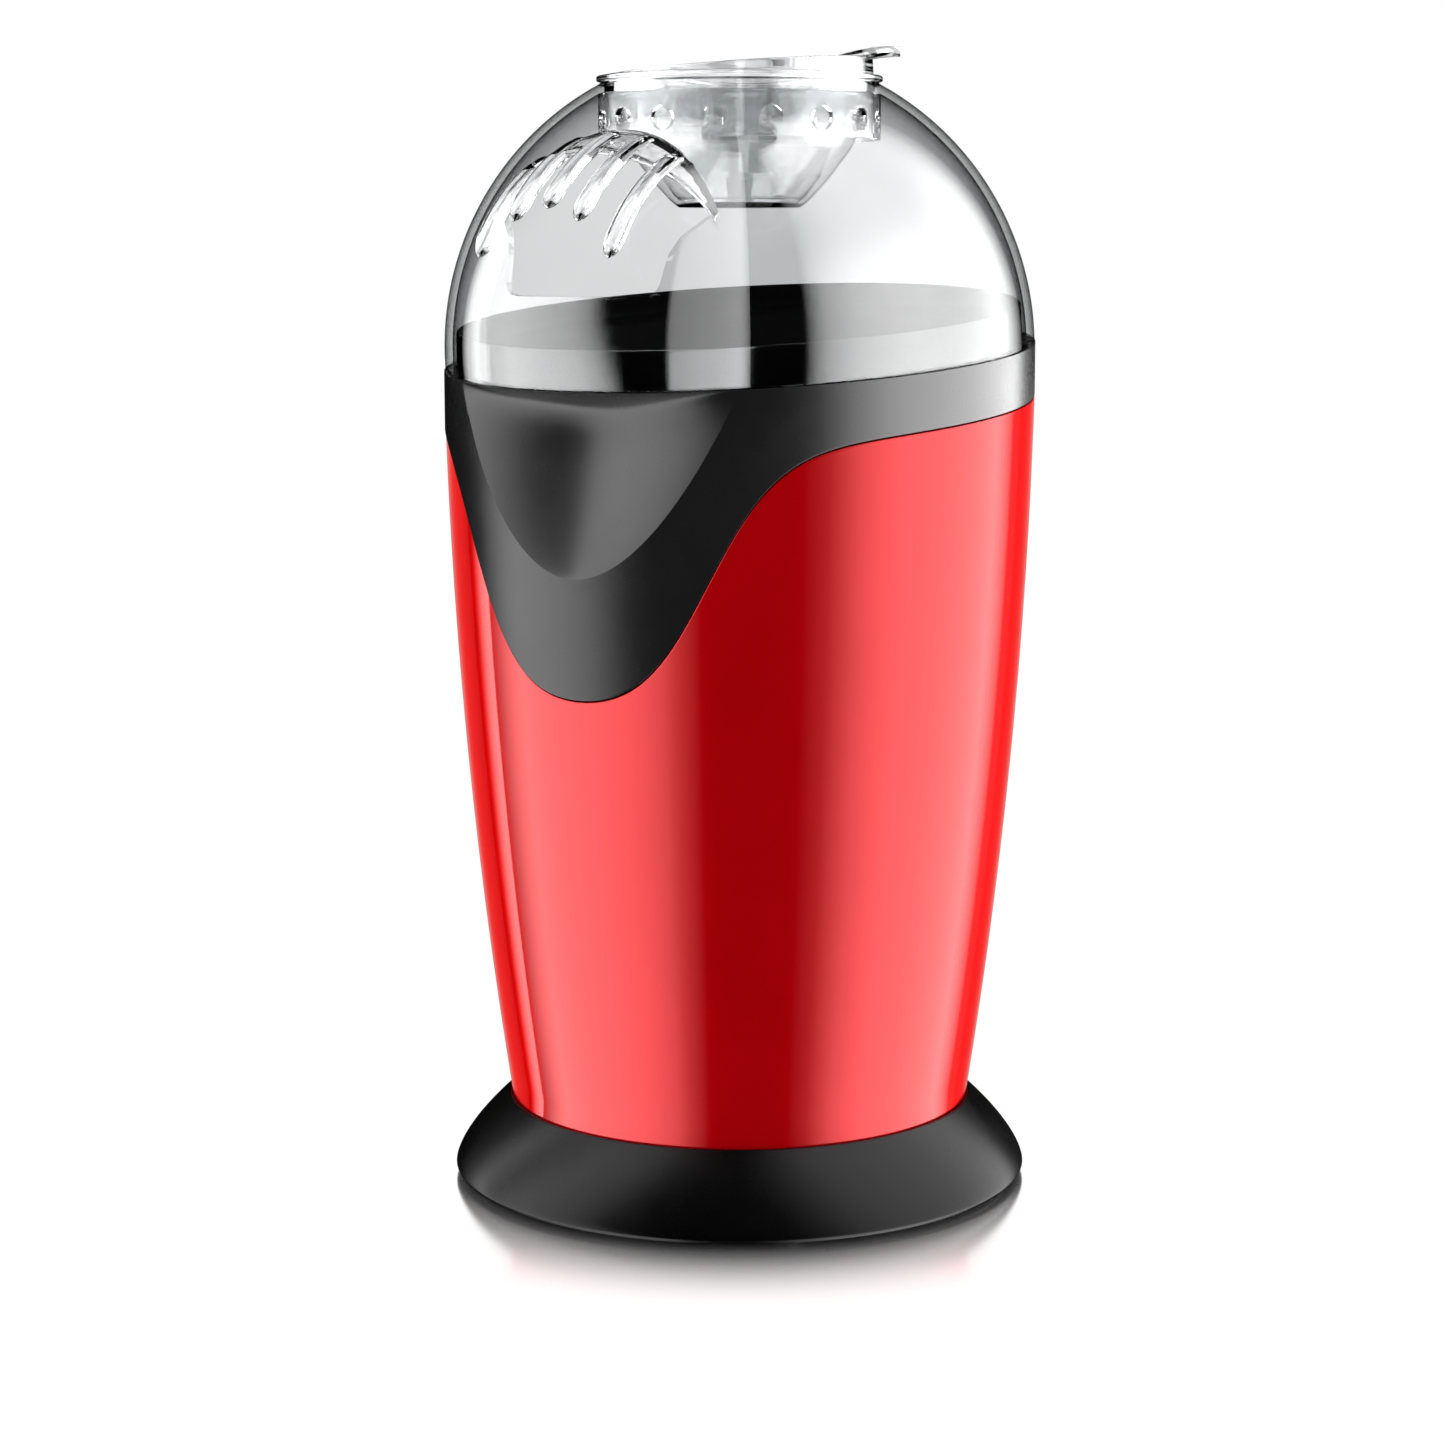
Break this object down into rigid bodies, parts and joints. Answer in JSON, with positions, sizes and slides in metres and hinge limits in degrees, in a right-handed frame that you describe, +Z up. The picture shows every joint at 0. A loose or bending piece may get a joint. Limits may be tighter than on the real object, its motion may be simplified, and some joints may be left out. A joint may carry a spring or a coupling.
{
  "type": "popcorn maker",
  "caption": "Hot-air popcorn maker: tapered red body on a flared base, black collar with scoop, clear dome with finned spout and lift-out measuring cup.",
  "frame": {"origin": "on the floor under the axis of the body, at the bottom face of the feet", "axes": "+Z up along the body axis; the spout and scoop face -Y; +X is to the right of a viewer standing in front"},
  "size_m": [0.1658, 0.1876, 0.32],
  "materials": {
    "red_body": "glossy injection-moulded red",
    "collar_black": "satin black",
    "hopper_black": "satin black",
    "base_black": "satin black",
    "dark_plastic": "fine matte texture",
    "rocker_plastic": "gloss black",
    "clear_plastic": "clear polished",
    "chamber_aluminium": "spun",
    "plated_steel": "zinc plated",
    "gasket_rubber": "silicone",
    "foot_rubber": "matte",
    "mica_board": "laminated mica sheet",
    "coil_wire": "oxidised resistance wire",
    "phenolic_brown": "phenolic",
    "fuse_brass": "satin",
    "fan_plastic": "natural nylon",
    "shaft_steel": "ground steel",
    "copper": "machined copper",
    "magnet_ferrite": "sintered ferrite",
    "cream_plastic": "nylon",
    "screw_steel": "zinc plated",
    "wire_brown": "PVC sleeve",
    "wire_blue": "PVC sleeve",
    "wire_white": "glass-fibre sleeve",
    "wire_red": "PVC sleeve"
  },
  "bodies": {
    "housing": {"base_screw_1": "screw_steel", "base_screw_2": "screw_steel", "base_screw_3": "screw_steel", "base_screw_4": "screw_steel", "base_skirt": "base_black", "body_shell": "red_body", "bottom_plate": "dark_plastic", "chamber_gasket": "gasket_rubber", "chamber_screw_1": "screw_steel", "chamber_screw_2": "screw_steel", "chamber_screw_3": "screw_steel", "collar": "collar_black", "cord_gland": "dark_plastic", "diode_1": "dark_plastic", "diode_2": "dark_plastic", "diode_3": "dark_plastic", "diode_4": "dark_plastic", "fan_housing": "dark_plastic", "foot_1": "foot_rubber", "foot_2": "foot_rubber", "foot_3": "foot_rubber", "foot_4": "foot_rubber", "gland_lock_nut": "dark_plastic", "heater_housing": "plated_steel", "heating_coil": "coil_wire", "hopper": "hopper_black", "hopper_screw_1": "screw_steel", "hopper_screw_2": "screw_steel", "hopper_screw_3": "screw_steel", "housing_screw_1": "screw_steel", "housing_screw_2": "screw_steel", "housing_screw_3": "screw_steel", "magnet_a": "magnet_ferrite", "magnet_b": "magnet_ferrite", "mica_cross_a": "mica_board", "mica_cross_b": "mica_board", "motor_can": "plated_steel", "motor_end_cap": "cream_plastic", "motor_screw_1": "screw_steel", "motor_screw_2": "screw_steel", "popping_chamber": "chamber_aluminium", "rectifier_board": "phenolic_brown", "switch_body": "dark_plastic", "terminal_block": "cream_plastic", "thermal_fuse": "fuse_brass", "thermostat": "phenolic_brown", "wire_fuse": "wire_white", "wire_heater": "wire_white", "wire_live": "wire_brown", "wire_motor": "wire_red", "wire_neutral": "wire_blue", "wire_switched": "wire_brown"},
    "dome": {"dome_cover": "clear_plastic"},
    "cup": {"measuring_cup": "clear_plastic"},
    "fan": {"impeller": "fan_plastic", "motor_shaft": "shaft_steel", "rotor_core": "shaft_steel", "commutator": "copper"},
    "rocker": {"switch_rocker": "rocker_plastic"}
  },
  "joints": [
    {"name": "dome_lift", "type": "slide", "parent": "housing", "child": "dome", "axis": [0, 0, 1], "range_m": [0, 0.12]},
    {"name": "cup_lift", "type": "slide", "parent": "dome", "child": "cup", "axis": [0, 0, 1], "range_m": [0, 0.06]},
    {"name": "fan_spin", "type": "hinge", "parent": "housing", "child": "fan", "pos_m": [0, 0, 0.07], "axis": [0, 0, 1], "continuous": true},
    {"name": "rocker_tilt", "type": "hinge", "parent": "housing", "child": "rocker", "pos_m": [0, 0.06867, 0.06231], "axis": [1, 0, 0], "range_deg": [0, 16]}
  ]
}
